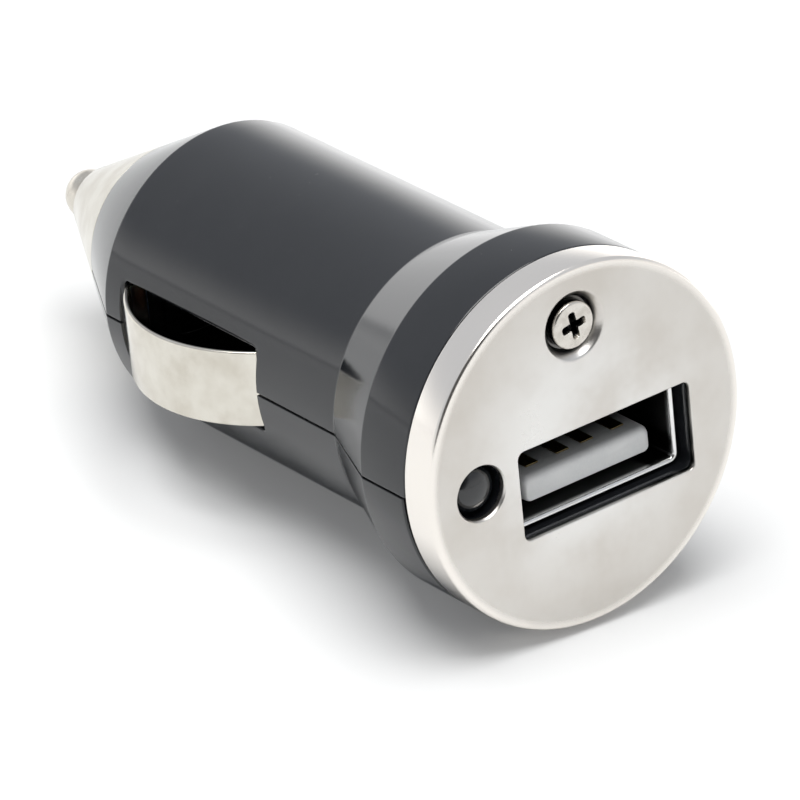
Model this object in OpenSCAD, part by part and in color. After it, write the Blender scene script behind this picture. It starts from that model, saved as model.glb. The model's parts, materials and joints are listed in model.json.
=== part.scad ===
// Plug-in charger for a car's 12 V socket, with one flat charging socket in its metal face.
// The plug's axis lies along Y: the metal face looks to -Y and the contact pin points to +Y.
// The origin is on the axis where the taper ends and the barrel starts, at the car socket's mouth.
// Depths are measured from the front of the metal face towards the nose.

/* [Head] */
// Diameter of the head and of its metal cap
head_d = 25; // [24:0.1:27]
// Length of the head, cap and flange together
flange_l = 7.2; // [6.6:0.1:8.5]
// Length of the taper between flange and barrel
taper_l = 6; // [5:0.1:7]

/* [Barrel] */
// Diameter of the barrel that goes into the car's socket
barrel_d = 20.4; // [20:0.1:20.9]
// Length of the barrel
barrel_l = 25.6; // [25.2:0.1:28]
// Wall of the moulded shells
shell_wall = 1.3; // [1.1:0.05:1.5]
// Depth of the fine groove that runs round both shells at their seam
seam_groove = 0.3; // [0.2:0.05:0.4]
// Width of that groove
seam_w = 0.14; // [0.1:0.02:0.2]

/* [Nose] */
// Length of the shells' tapered shoulder behind the barrel
shoulder_l = 6.6; // [6.2:0.1:7.2]
// Length of the metal nose cap
nose_cap_l = 8.5; // [8:0.1:9.5]
// Diameter of the nose cap's mouth
nose_mouth_d = 4.9; // [4.7:0.1:5.4]
// Diameter of the neck that the nose cap screws onto
neck_d = 8.4; // [8.2:0.1:8.8]
// Length of that neck
neck_l = 3.1; // [2.6:0.1:3.2]

/* [Contact pin] */
// Diameter of the sprung contact pin
pin_d = 3.6; // [3.4:0.1:3.8]
// Reach of the pin's tip beyond the nose cap
pin_reach = 3.1; // [2.8:0.1:4]
// Travel of the pin when the plug is pushed home
pin_travel = 2; // [1.6:0.1:2.2]
// Diameter of the collar that keeps the pin in the nose cap
collar_d = 5.6; // [5.2:0.1:5.7]
// Thickness of the collar
collar_t = 1.2; // [1:0.1:1.4]
// Wall of the nose cap in front of the collar
mouth_wall = 2.3; // [2:0.1:2.5]
// Wire diameter of the pin's coil spring
spring_wire = 0.45; // [0.35:0.05:0.5]
// Turns of the coil spring
spring_turns = 5.5; // [4.5:0.5:6]

/* [Face cap] */
// Sheet thickness of the drawn metal cap
cap_t = 0.5; // [0.4:0.05:0.6]
// Depth of the cap's rim
cap_rim = 2.6; // [2.2:0.1:3]
// Rounding of the cap's front edge
cap_edge = 0.3; // [0.2:0.05:0.4]
// Gap between the cap's rim and the lower shell's flange
lower_rim_gap = 0.35; // [0.2:0.05:0.45]
// Thickness of the shells' front wall behind the cap
front_wall = 1.5; // [1.2:0.1:1.8]

/* [Socket window] */
// Width of the window in the cap
window_w = 13.9; // [13.6:0.1:14.2]
// Height of the window
window_h = 6.3; // [6.2:0.1:6.6]
// Corner radius of the window
window_r = 0.5; // [0.3:0.1:0.8]
// Sideways offset of the window's centre from the axis
window_x = 1.55; // [1.3:0.05:1.8]
// Height of the window's centre against the axis
window_z = -1.75; // [-1.9:0.05:-1.6]

/* [Charging socket] */
// Outside width of the socket's sheet-metal shell
socket_w = 13.1; // [12.9:0.1:13.3]
// Outside height of the shell
socket_h = 5.7; // [5.6:0.1:5.9]
// Sheet thickness of the shell
socket_t = 0.3; // [0.25:0.05:0.35]
// Length of the shell
socket_l = 13; // [12.5:0.1:13.5]
// Depth of the shell's mouth behind the face
socket_front = 1.3; // [1.1:0.1:1.6]
// Width of the insulating tongue
tongue_w = 10.2; // [9.8:0.1:10.6]
// Thickness of the tongue
tongue_t = 1.84; // [1.7:0.02:1.9]
// Gap between the tongue and the shell below it
tongue_gap = 0.63; // [0.55:0.02:0.7]
// Depth of the tongue's tip behind the face
tongue_front = 2.2; // [2:0.1:2.6]

/* [Indicator lamp] */
// Sideways place of the lamp
lamp_x = -8.45; // [-8.6:0.05:-8.3]
// Height of the lamp against the axis
lamp_z = -0.2; // [-0.3:0.05:-0.1]
// Diameter of the hole in front of the lamp
lamp_hole_d = 3.9; // [3.7:0.1:4]
// Diameter of the lamp's body
lamp_d = 3; // [2.9:0.1:3.1]
// Length of the lamp's body
lamp_l = 5.3; // [4.5:0.1:5.5]
// Depth of the lamp's domed tip behind the face
lamp_front = 1.9; // [1.7:0.1:2.2]

/* [Face screw] */
// Sideways place of the screw
screw_x = -0.1; // [-0.3:0.1:0.3]
// Height of the screw above the axis
screw_z = 8.5; // [8.4:0.05:8.6]
// Diameter of the screw's head
screw_head_d = 3.2; // [3:0.1:3.3]
// Diameter of the screw's shank
screw_d = 1.8; // [1.6:0.1:2]
// Length of the screw's shank
screw_l = 6.5; // [5.5:0.5:7]
// Diameter of the dimple that the screw's head sits in
dimple_d = 4.5; // [4.4:0.1:4.8]
// Depth of the dimple
dimple_depth = 0.9; // [0.8:0.05:1]
// Turn of the screw's cross recess
screw_turn = 80; // [0:1:90]

/* [Side clips] */
// Width of each spring clip
clip_w = 5.4; // [5:0.1:5.6]
// Sheet thickness of the clips
clip_t = 0.35; // [0.3:0.05:0.4]
// Reach of a clip's crest from the axis
clip_reach = 12.75; // [12.3:0.05:13]
// Travel of a clip when it is pressed in
clip_travel = 2.2; // [1.8:0.1:2.3]
// Width of the slot that each clip stands in
slot_w = 6; // [5.8:0.1:6.4]
// Distance from the slot to the barrel's end
slot_back = 1.9; // [1.5:0.1:2.4]
// Length of the slot
slot_l = 15; // [14.6:0.1:15.2]
// Length of each clip's tail under the shell's wall
tail_l = 2.6; // [2.2:0.1:2.8]

/* [Circuit board] */
// Thickness of the circuit board
board_t = 1.2; // [1:0.1:1.6]
// Width of the board above the socket
board_front_w = 16.2; // [15.8:0.1:16.4]
// Gap between the board and the rivet of the spring's seat
board_gap = 1; // [0.8:0.1:1.5]
// Share of the length under the board that the coil's drum core takes
drum_share = 0.256; // [0.2:0.002:0.27]
// Height of the coil's drum core
drum_h = 4.6; // [4:0.1:5]
// Share of that length that the larger capacitor takes
big_can_share = 0.293; // [0.25:0.001:0.3]
// Diameter of the larger capacitor
big_can_d = 6.3; // [5:0.1:6.4]
// Share of that length that the smaller capacitor takes
small_can_share = 0.256; // [0.22:0.002:0.27]
// Diameter of the smaller capacitor
small_can_d = 5; // [4:0.1:5.4]

/* [Hidden] */
round_fn = 96;
wire_fn = 24;

// Fits
touch = 0.02;
slide_fit = 0.06;
seat_fit = 0.1;

// Depths from the metal face
flange_end = flange_l;
taper_end = flange_end + taper_l;
barrel_end = taper_end + barrel_l;
nose_seam = barrel_end + shoulder_l;
nose_end = nose_seam + nose_cap_l;
overall_l = nose_end + pin_reach;
slot_from = barrel_end - slot_back - slot_l;

// Head and barrel
head_r = head_d / 2;
barrel_r = barrel_d / 2;
rim_r = head_r - cap_t - seat_fit;
bore_r = barrel_r - shell_wall;
front_end = cap_t + front_wall;

// The shells' shoulder and the nose cap share one straight taper
nose_mouth_r = nose_mouth_d / 2;
nose_slope = (barrel_r - nose_mouth_r) / (nose_end - barrel_end);
function nose_r(depth) = barrel_r - nose_slope * (depth - barrel_end);
nose_angle = atan(nose_slope);
nose_wall = shell_wall / cos(nose_angle);

// Neck, spring and pin
neck_r = neck_d / 2;
neck_end = nose_seam + neck_l;
spring_bore_r = neck_r - 1;
lead_hole_r = 1.2;
collar_r = collar_d / 2;
collar_bore_r = collar_r + slide_fit;
collar_front = nose_end - mouth_wall - touch;
collar_back = collar_front - collar_t;
pin_r = pin_d / 2;
seat_t = 0.5;
spring_spare = 1;
spring_from = collar_back - pin_travel - spring_turns * spring_wire - spring_spare;
spring_r = collar_r - spring_wire / 2 - 0.15;
rear_wall_end = spring_from - seat_t;
rear_wall_t = 1;
rear_wall_front = rear_wall_end - rear_wall_t;
rivet_l = 0.8;
rivet_end = rear_wall_front - rivet_l;
rivet_r = 0.9;
lead_r = 0.35;
lead_foot = 1.2;

// Clips: a circular bow between two short tails that lie under the shells' wall
clip_mid = slot_from + slot_l / 2;
bend_gap = 0.15;
leg_run = 0.55;
bow_half = slot_l / 2 - bend_gap - leg_run;
bow_foot = barrel_r + 0.05;
bow_rise = clip_reach - bow_foot;
bow_r = (pow(bow_half, 2) + pow(bow_rise, 2)) / (2 * bow_rise);
bow_angle = asin(bow_half / bow_r);
// Outer face of a flat tail whose corners just clear the round bore
tail_x = sqrt(pow(bore_r, 2) - pow(clip_w / 2, 2)) - slide_fit;
tail_mid_x = tail_x - clip_t / 2;
tail_from = slot_from + bend_gap - tail_l;
tail_to = slot_from + slot_l - bend_gap + tail_l - 0.8;
fin_gap = 0.15;
fin_t = 0.7;
fin_run = 2.6;

// Charging socket
socket_end = socket_front + socket_l;
socket_top = window_z + socket_h / 2;
socket_bottom = window_z - socket_h / 2;
tongue_bottom = socket_bottom + socket_t + tongue_gap;
tongue_top = tongue_bottom + tongue_t;
block_front = socket_end - 2.4;
contact_pitch = [-3.5, -1, 1, 3.5];
contact_w = 1;
contact_t = 0.25;
contact_sink = 0.2;
contact_front = tongue_front + 1.2;
contact_low = tongue_top - contact_sink + touch;
contact_pin_w = 0.6;
contact_pin_y = socket_end + 0.575;
leaf_x = 3.3;
leaf_w = 1.8;
leaf_l = 5;
leaf_from = socket_front + 2.5;
leaf_angle = 3;
rib_t = 1;
rib_half_w = 4;
rib_places = [5, socket_end - 3];

// Board, hung over the socket
board_bottom = socket_top + touch;
board_top = board_bottom + board_t;
board_front = front_end + 0.2;
board_end = rivet_end - board_gap;
board_step = tail_from - 0.6;
// Between the clips the board leaves room for their travel
board_w = 2 * (tail_x - clip_t - clip_travel - 0.27);
pad_w = 1.6;
pad_l = 1.2;
pad_gap = 1;
hole_gap = 0.05;
solder_stub = 0.6;
tab_t = 0.3;
tab_w = 2;

// Lamp: its two leads stand askew, so that both meet the board inside the taper
lamp_r = lamp_d / 2;
lamp_back = lamp_front + lamp_l;
lamp_rim_r = lamp_r + 0.4;
lamp_rim_t = 1;
lamp_ring_wall = 0.8;
lamp_lead_r = 0.25;
lamp_lead_off = 2.54 / 2 * sin(45);
lamp_bend = lamp_back + 1.6;
lamp_notch = lamp_back + 0.7;
board_ear = -lamp_x + lamp_lead_off + lamp_lead_r + hole_gap + 0.2;

// Chip and diode, one behind the other along the middle of the board's upper side
chip_w = 3.9;
chip_l = 4.9;
chip_h = 1.5;
chip_stand = 0.15;
chip_pitch = 1.27;
chip_lead_w = 0.4;
chip_lead_t = 0.2;
chip_lead_l = 1.15;
chip_y = socket_end + 1.25 + chip_l / 2;
diode_w = 2.6;
diode_l = 4.2;
diode_h = 2.05;
diode_stand = 0.23;
diode_foot = 0.9;
diode_y = chip_y + chip_l / 2 + 2 + diode_l / 2;

// Under the board, the coil between the two capacitor cans, all a little left of the axis,
// which balances the socket on the right
can_x = -0.7;
can_lead_off = 1.2;
can_lead_r = 0.25;
can_lead_bend = 0.9;
under_l = board_end - socket_end;
big_can_l = big_can_share * under_l;
small_can_l = small_can_share * under_l;
drum_d = drum_share * under_l;
big_can_from = socket_end + 2.3;
small_can_from = board_end - 0.3 - small_can_l;
drum_flange = 0.8;
drum_x = -1.3;
drum_y = (big_can_from + big_can_l + small_can_from - can_lead_bend - can_lead_r) / 2;
drum_z = board_bottom - touch - drum_h;

// Small parts with two soldered ends: some on the front of the board, some near its end
part_l = 1.9;
part_w = 1.1;
part_end_l = 0.5;
resistor_h = 0.5;
capacitor_h = 0.85;
resistor_places = [[-4.6, contact_pin_y - 2.3], [-4.6, contact_pin_y - 4.5], [5.4, contact_pin_y - 6.4],
  [-3.2, board_end - 5.2], [3.2, board_end - 5.2]];
capacitor_places = [[4.8, contact_pin_y - 2.5], [5.4, contact_pin_y - 9.1], [-2.2, contact_pin_y - 5.4],
  [-2.4, board_end - 2.3]];

// Screw and its boss
screw_r = screw_d / 2;
boss_r = 2.2;
boss_end = dimple_depth + screw_l + 1;

// Points of an arc about a centre, from one angle to another
function arc(centre, r, from, to, steps) =
  [for (i = [0:steps]) let (a = from + (to - from) * i / steps) centre + r * [cos(a), sin(a)]];

// Unit vector at right angles to the way from p to q
function side(p, q) = [p[1] - q[1], q[0] - p[0]] / norm(q - p);

// Mitred offset of point i of a path
function offset_point(path, i, by) =
  let (last = len(path) - 1,
       a = side(path[max(i - 1, 0)], path[max(i, 1)]),
       b = side(path[min(i, last - 1)], path[min(i + 1, last)]),
       m = (a + b) / norm(a + b))
  path[i] + by / (m * a) * m;

// Outline of a strip of thickness t along a path
function strip(path, t) = concat(
  [for (i = [0:len(path) - 1]) offset_point(path, i, t / 2)],
  [for (i = [len(path) - 1:-1:0]) offset_point(path, i, -t / 2)]);

// Places what is drawn by depth from the metal face in the plug's own frame
module from_face() translate([0, -taper_end, 0]) children();

// Body turned about the plug's axis from [radius, depth] points
module turned(points, fn = round_fn) rotate([-90, 0, 0]) rotate_extrude($fn = fn) polygon(points);

// Round bar along the axis between two depths
module bar(r, from, to, fn = round_fn)
  translate([0, from, 0]) rotate([-90, 0, 0]) cylinder(r = r, h = to - from, $fn = fn);

// Box between two corners
module block(low, high) translate(low) cube(high - low);

// Rectangle with round corners, centred
module round_rectangle(w, h, r) {
  square([w - 2 * r, h], center = true);
  square([w, h - 2 * r], center = true);
  for (x = [-1, 1], y = [-1, 1])
    translate([x * (w / 2 - r), y * (h / 2 - r)]) circle(r = r, $fn = 32);
}

// Straight duct of a round-cornered section behind the window
module duct(w, h, r, from, to)
  translate([window_x, to, window_z]) rotate([90, 0, 0])
    linear_extrude(to - from) round_rectangle(w, h, r);

// Wire of radius r through a list of points
module wire(points, r) {
  for (i = [0:len(points) - 2]) {
    run = points[i + 1] - points[i];
    translate(points[i])
      rotate([0, acos(run[2] / norm(run)), atan2(run[1], run[0])])
        cylinder(r = r, h = norm(run), $fn = wire_fn);
  }
  for (i = [1:len(points) - 2]) translate(points[i]) sphere(r = r, $fn = wire_fn);
}

// Outside of both shells, with the rim that the cap fits over
module shell_outside(rim_gap)
  turned([[0, cap_t], [rim_r, cap_t], [rim_r, cap_rim + rim_gap], [head_r, cap_rim + rim_gap],
    [head_r, flange_end], [barrel_r, taper_end], [barrel_r, barrel_end],
    [nose_r(nose_seam), nose_seam], [neck_r, nose_seam], [neck_r, neck_end], [0, neck_end]]);

// Space inside both shells
module shell_inside() {
  turned([[0, front_end], [head_r - shell_wall, front_end],
    [head_r - shell_wall, flange_end - 0.3], [bore_r, taper_end - 0.3], [bore_r, barrel_end - 0.3],
    [nose_r(rear_wall_front) - nose_wall, rear_wall_front], [0, rear_wall_front]]);
  bar(lead_hole_r, rear_wall_front - 1, rear_wall_end + 1);
  bar(spring_bore_r, rear_wall_end, neck_end + 1);
}

// Half space above or below the seam
module half(s) {
  reach = head_r + 1;
  block([-reach, 0, min(s, 0) * reach], [reach, overall_l, max(s, 0) * reach]);
}

// Fine groove on both sides of the seam, from the flange to the nose cap
module seam_cut() difference() {
  block([-head_r - 1, cap_rim, -seam_w / 2], [head_r + 1, nose_seam + 1, seam_w / 2]);
  turned([[0, 0], [head_r - seam_groove, 0], [head_r - seam_groove, flange_end],
    [barrel_r - seam_groove, taper_end], [barrel_r - seam_groove, barrel_end],
    [nose_r(nose_seam) - seam_groove, nose_seam], [nose_r(nose_seam) - seam_groove, nose_seam + 2],
    [0, nose_seam + 2]]);
}

// Everything that is cut out of the shells' front wall and sides
module shell_cuts() {
  duct(window_w, window_h, window_r, 0, front_end + 1);
  duct(socket_w + 2 * seat_fit, socket_h + 2 * seat_fit, 0.6, front_end, socket_end + seat_fit);
  translate([lamp_x, 0, lamp_z]) bar(lamp_hole_d / 2, 0, front_end);
  translate([lamp_x, 0, lamp_z]) bar(lamp_r + slide_fit, 0, lamp_back);
  translate([screw_x, 0, screw_z])
    dimple_shape(dimple_d / 2 + cap_t + seat_fit, dimple_depth + cap_t + touch);
  for (s = [-1, 1])
    translate([s * barrel_r, clip_mid, 0]) rotate([0, 90, 0])
      translate([0, 0, -barrel_r / 2]) linear_extrude(barrel_r) round_rectangle(slot_w, slot_l, 0.4);
  seam_cut();
}

// Frustum that the screw's dimple follows
module dimple_shape(r, deep)
  rotate([-90, 0, 0]) cylinder(r1 = r, r2 = r - dimple_depth / 2, h = deep, $fn = 64);

// Pads that hold the board, on one shell, between two heights
module board_pads(low, high)
  for (s = [-1, 1], from = [board_step + pad_gap, tail_to + pad_gap])
    translate([s * (board_w - pad_w) / 2, from, 0]) block([-pad_w / 2, 0, low], [pad_w / 2, pad_l, high]);

// Fins behind the clips' rear tails
module clip_fins(low, high)
  for (s = [-1, 1])
    block([s * tail_x - fin_run, tail_to + fin_gap, low],
      [s * tail_x + fin_run, tail_to + fin_gap + fin_t, high]);

// Ring in the front wall that holds the lamp
module lamp_ring()
  translate([lamp_x, 0, lamp_z]) bar(lamp_r + lamp_ring_wall, front_end - 0.5, lamp_back - 1.2);

module upper_shell() color("#3b3d40") from_face() difference() {
  intersection() {
    shell_outside(touch);
    half(1);
    union() {
      difference() {
        half(1);
        shell_inside();
      }
      translate([screw_x, 0, screw_z]) {
        bar(boss_r, cap_t, boss_end);
        block([-rib_t / 2, cap_t, 0], [rib_t / 2, boss_end, head_r]);
      }
      board_pads(board_top + touch, head_r);
      clip_fins(0, slot_w / 2);
      lamp_ring();
    }
  }
  translate([screw_x, 0, screw_z]) bar(screw_r + touch, 0, boss_end - 0.6);
  shell_cuts();
}

module lower_shell() color("#3b3d40") from_face() difference() {
  intersection() {
    shell_outside(lower_rim_gap);
    union() {
      difference() {
        half(-1);
        shell_inside();
      }
      board_pads(-head_r, board_bottom - touch);
      clip_fins(-slot_w / 2, 0);
      intersection() {
        lamp_ring();
        half(-1);
      }
      for (y = rib_places)
        block([window_x - rib_half_w, y, -head_r], [window_x + rib_half_w, y + rib_t, socket_bottom - touch]);
    }
  }
  shell_cuts();
}

module face_cap() color("#d8d1c6") from_face() difference() {
  union() {
    turned(concat([[0, 0]], arc([head_r - cap_edge, cap_edge], cap_edge, -90, 0, 6),
      [[head_r, cap_rim], [head_r - cap_t, cap_rim], [head_r - cap_t, cap_t], [0, cap_t]]));
    translate([screw_x, 0, screw_z]) dimple_shape(dimple_d / 2 + cap_t, dimple_depth + cap_t);
  }
  duct(window_w, window_h, window_r, -1, cap_rim);
  translate([lamp_x, 0, lamp_z]) bar(lamp_hole_d / 2, -1, cap_t + 1);
  translate([screw_x, 0, screw_z]) {
    dimple_shape(dimple_d / 2, dimple_depth);
    bar(screw_r + 0.15, 0, cap_rim);
  }
}

module face_screw() color("#c9c4bb") from_face()
  translate([screw_x, 0, screw_z]) difference() {
    head_r1 = screw_head_d / 2;
    head_low = dimple_depth - touch;
    union() {
      turned(concat([[0, 0.05]], arc([head_r1 - 0.2, 0.25], 0.2, -90, 0, 4),
        [[head_r1, head_low - 0.1], [head_r1 - 0.1, head_low], [0, head_low]]), 64);
      turned([[0, head_low - 0.1], [screw_r, head_low - 0.1], [screw_r, head_low + screw_l - 0.8],
        [0.1, head_low + screw_l], [0, head_low + screw_l]], 48);
    }
    rotate([0, screw_turn, 0]) for (a = [0, 90]) rotate([0, a, 0])
      translate([0, 0.3, 0]) cube([screw_head_d * 0.6, 0.9, 0.42], center = true);
  }

module nose_cap() color("#ddd6c6") from_face() turned([
  [neck_r + slide_fit, nose_seam + touch], [nose_r(nose_seam + touch), nose_seam + touch],
  [nose_r(nose_end - 0.3), nose_end - 0.3], [nose_mouth_r - 0.35, nose_end],
  [pin_r + slide_fit, nose_end], [pin_r + slide_fit, nose_end - mouth_wall],
  [collar_bore_r, nose_end - mouth_wall], [collar_bore_r, neck_end + seat_fit],
  [neck_r + slide_fit, neck_end + seat_fit]]);

module contact_pin() color("#b3aa98") from_face() turned(concat(
  [[0, collar_back - 1], [spring_r - spring_wire / 2 - 0.2, collar_back - 1],
   [spring_r - spring_wire / 2 - 0.2, collar_back], [collar_r, collar_back],
   [collar_r, collar_front], [pin_r, collar_front]],
  arc([0, overall_l - pin_r], pin_r, 0, 90, 12)));

// Point on the spring's wire surface at angle a round the coil and b round the wire
function spring_point(a, b) =
  let (rise = (collar_back - spring_from - spring_wire - 2 * touch) / (360 * spring_turns),
       r = spring_r + spring_wire / 2 * cos(b))
  [r * cos(a), spring_from + touch + spring_wire / 2 + rise * a + spring_wire / 2 * sin(b), r * sin(a)];

module contact_spring() color("#a9a7a2") from_face() {
  sides = 8;
  rings = round(spring_turns * 20);
  points = [for (i = [0:rings], j = [0:sides - 1])
    spring_point(360 * spring_turns * i / rings, 360 * j / sides)];
  walls = [for (i = [0:rings - 1], j = [0:sides - 1])
    [i * sides + j, i * sides + (j + 1) % sides, (i + 1) * sides + (j + 1) % sides, (i + 1) * sides + j]];
  start = [[for (j = [sides - 1:-1:0]) j]];
  finish = [[for (j = [0:sides - 1]) rings * sides + j]];
  polyhedron(points, concat(walls, start, finish), convexity = 10);
}

module spring_seat() color("#c8a653") from_face() turned([
  [0, rivet_end], [rivet_r, rivet_end],
  [rivet_r, rear_wall_end + touch], [spring_bore_r - seat_fit, rear_wall_end + touch],
  [spring_bore_r - seat_fit, rear_wall_end + seat_t], [0, rear_wall_end + seat_t]], 48);

// Centre line of a clip, as [depth, reach], from its front tail over the bow to its rear tail
clip_line = concat(
  [[tail_from, tail_mid_x], [slot_from + bend_gap, tail_mid_x],
   [slot_from + bend_gap + 0.3, tail_mid_x + 0.3]],
  arc([clip_mid, clip_reach - bow_r], bow_r - clip_t / 2, 90 + bow_angle, 90 - bow_angle, 24),
  [[slot_from + slot_l - bend_gap - 0.3, tail_mid_x + 0.3],
   [slot_from + slot_l - bend_gap, tail_mid_x], [tail_to, tail_mid_x]]);

module clip(s) color("#e2dccf") from_face()
  translate([0, 0, -clip_w / 2]) linear_extrude(clip_w)
    polygon([for (p = strip(clip_line, clip_t)) [s * p[1], p[0]]]);

module left_clip() clip(-1);
module right_clip() clip(1);

module socket_shell() color("#c5c7c9") from_face() {
  difference() {
    duct(socket_w, socket_h, 0.6, socket_front, socket_end);
    duct(socket_w - 2 * socket_t, socket_h - 2 * socket_t, 0.3, socket_front - 1, socket_end + 1);
    for (x = [-leaf_x, leaf_x])
      block([window_x + x - leaf_w / 2 - 0.3, leaf_from, socket_bottom - 1],
        [window_x + x + leaf_w / 2 + 0.3, leaf_from + leaf_l, socket_top + 1]);
  }
  for (x = [-leaf_x, leaf_x], s = [-1, 1])
    translate([window_x + x, leaf_from + leaf_l + 0.1, window_z + s * (socket_h - socket_t) / 2])
      rotate([s * leaf_angle, 0, 0]) translate([0, -leaf_l / 2, 0])
        cube([leaf_w, leaf_l, socket_t * 0.8], center = true);
}

module socket_tongue() color("#e6e7e6") from_face() difference() {
  union() {
    translate([window_x, block_front + 1, (tongue_bottom + tongue_top) / 2]) rotate([90, 0, 0])
      linear_extrude(block_front + 1 - tongue_front) round_rectangle(tongue_w, tongue_t, 0.35);
    duct(socket_w - 2 * socket_t - 2 * touch, socket_h - 2 * socket_t - 2 * touch, 0.3,
      block_front, socket_end - 0.2);
  }
  for (x = contact_pitch)
    block([window_x + x - contact_w / 2 - touch, contact_front - touch, contact_low - touch],
      [window_x + x + contact_w / 2 + touch, socket_end, contact_low + contact_t + touch]);
}

module socket_contacts() color("#d4b04a") from_face()
  for (x = contact_pitch) translate([window_x + x, contact_pin_y, 0]) {
    block([-contact_w / 2, contact_front - contact_pin_y, contact_low],
      [contact_w / 2, contact_t / 2, contact_low + contact_t]);
    block([-contact_pin_w / 2, -contact_t / 2, contact_low],
      [contact_pin_w / 2, contact_t / 2, board_top + solder_stub]);
  }

module circuit_board() color("#2f6b46") from_face() difference() {
  translate([0, 0, board_bottom]) linear_extrude(board_t) polygon([
    [lamp_x + lamp_r + 1.2, board_front], [board_front_w / 2, board_front],
    [board_front_w / 2, board_step], [board_w / 2, board_step], [board_w / 2, board_end],
    [-board_w / 2, board_end], [-board_w / 2, board_step], [-board_front_w / 2, board_step],
    [-board_front_w / 2, taper_end], [-board_ear, lamp_bend + 0.6], [-board_ear, lamp_notch],
    [lamp_x + lamp_r + 1.2, lamp_notch]]);
  for (x = contact_pitch) board_hole(window_x + x, contact_pin_y, contact_pin_w / 2 + hole_gap);
  for (s = [-1, 1]) board_hole(lamp_x + s * lamp_lead_off, lamp_bend, lamp_lead_r + hole_gap);
}

// Round hole through the board for a wire or a solder pin
module board_hole(x, y, r) translate([x, y, board_bottom - 1]) cylinder(r = r, h = board_t + 2, $fn = 24);

module indicator_lamp() color("#8f9698") from_face() translate([lamp_x, 0, lamp_z]) turned(concat(
  [[0, lamp_front]], arc([0, lamp_front + lamp_r], lamp_r, -80, 0, 8),
  [[lamp_r, lamp_back - lamp_rim_t], [lamp_rim_r, lamp_back - lamp_rim_t],
   [lamp_rim_r, lamp_back], [0, lamp_back]]), 48);

module lamp_leads() color("#bfbfbd") from_face()
  for (s = [-1, 1]) translate([lamp_x + s * lamp_lead_off, 0, 0])
    wire([[0, lamp_back + touch, lamp_z - s * lamp_lead_off], [0, lamp_bend, lamp_z - s * lamp_lead_off],
      [0, lamp_bend, board_top + solder_stub]], lamp_lead_r);

// The coil's core hangs under the board
module drum_core() color("#55565a") from_face() translate([drum_x, drum_y, drum_z])
  rotate_extrude($fn = 64) polygon([
    [0, 0], [drum_d / 2, 0], [drum_d / 2, drum_flange], [drum_d / 4, drum_flange],
    [drum_d / 4, drum_h - drum_flange], [drum_d / 2, drum_h - drum_flange],
    [drum_d / 2, drum_h], [0, drum_h]]);

module drum_winding() color("#b4652f") from_face() translate([drum_x, drum_y, drum_z]) {
  wire_d = 0.5;
  recess = 0.7;
  low = drum_flange + touch;
  high = drum_h - drum_flange - touch;
  turns = floor((high - low) / wire_d);
  pitch = (high - low - wire_d) / (turns - 1);
  rotate_extrude($fn = 64) {
    translate([drum_d / 4 + touch, low]) square([drum_d / 4 - recess, high - low]);
    for (i = [0:turns - 1])
      translate([drum_d / 2 - recess, low + wire_d / 2 + i * pitch]) circle(d = wire_d, $fn = 24);
  }
}

// Capacitor can lying along the board's underside, with its two wires bent up into the board
module can(d, l, from) {
  r = d / 2;
  z = board_bottom - r - touch;
  edge = 0.3;
  bead = 1.7;
  bend = from - can_lead_bend;
  translate([can_x, 0, z]) turned([
    [0, from + edge], [r - 2 * edge, from + edge], [r - edge, from], [r, from + edge],
    [r, from + bead - edge], [r - edge, from + bead], [r, from + bead + edge],
    [r, from + l - edge], [r - edge, from + l],
    [r - 2 * edge, from + l], [r - 2 * edge, from + l - edge / 2], [0, from + l - edge / 2]], 64);
  for (x = [can_x - can_lead_off, can_x + can_lead_off])
    wire([[x, from + 2 * edge, z], [x, bend, z], [x, bend, board_bottom - touch]], can_lead_r);
}

module input_capacitor() color("#3a4a66") from_face() can(big_can_d, big_can_l, big_can_from);
module output_capacitor() color("#3a4a66") from_face()
  can(small_can_d, small_can_l, small_can_from);

// Eight-lead regulator on the board's upper side
module regulator_chip() color("#2a2b2d") from_face() translate([0, chip_y, board_top + chip_stand])
  difference() {
    block([-chip_w / 2, -chip_l / 2, 0], [chip_w / 2, chip_l / 2, chip_h]);
    translate([-chip_w / 2 + 0.65, -chip_l / 2 + 0.65, chip_h - 0.1]) cylinder(r = 0.35, h = 1, $fn = 24);
  }

module regulator_leads() color("#c4c6c8") from_face() {
  root = chip_w / 2;
  high = chip_stand + chip_h / 2;
  foot = chip_lead_t / 2 + touch;
  line = [[root + touch, high], [root + chip_lead_l / 3, high], [root + chip_lead_l / 2, foot],
    [root + chip_lead_l, foot]];
  for (s = [-1, 1], i = [-1.5:1.5])
    translate([0, chip_y + i * chip_pitch + chip_lead_w / 2, board_top]) rotate([90, 0, 0])
      linear_extrude(chip_lead_w) polygon([for (p = strip(line, chip_lead_t)) [s * p[0], p[1]]]);
}

// Diode body with a solder foot at each end
module catch_diode() color("#2a2b2d") from_face() translate([0, diode_y, board_top + touch]) {
  block([-diode_w / 2, -diode_l / 2, diode_stand], [diode_w / 2, diode_l / 2, diode_stand + diode_h]);
  for (s = [-1, 1]) translate([0, s * (diode_l / 2 + diode_foot / 6), 0])
    block([-diode_foot, -diode_foot / 2, 0], [diode_foot, diode_foot / 2, diode_stand + 0.15]);
}

// Small two-ended chip, lying across the board
module chip_part(place, tall) translate([place[0], place[1], board_top + touch]) {
  plate = 0.06;
  block([-part_l / 2, -part_w / 2, 0], [part_l / 2, part_w / 2, tall]);
  for (s = [-1, 1]) translate([s * (part_l - part_end_l) / 2, 0, 0])
    block([-(part_end_l + plate) / 2, -part_w / 2 - plate, 0],
      [(part_end_l + plate) / 2, part_w / 2 + plate, tall + plate]);
}

module chip_resistors() color("#26282b") from_face()
  for (place = resistor_places) chip_part(place, resistor_h);

module chip_capacitors() color("#b59a72") from_face()
  for (place = capacitor_places) chip_part(place, capacitor_h);

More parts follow.
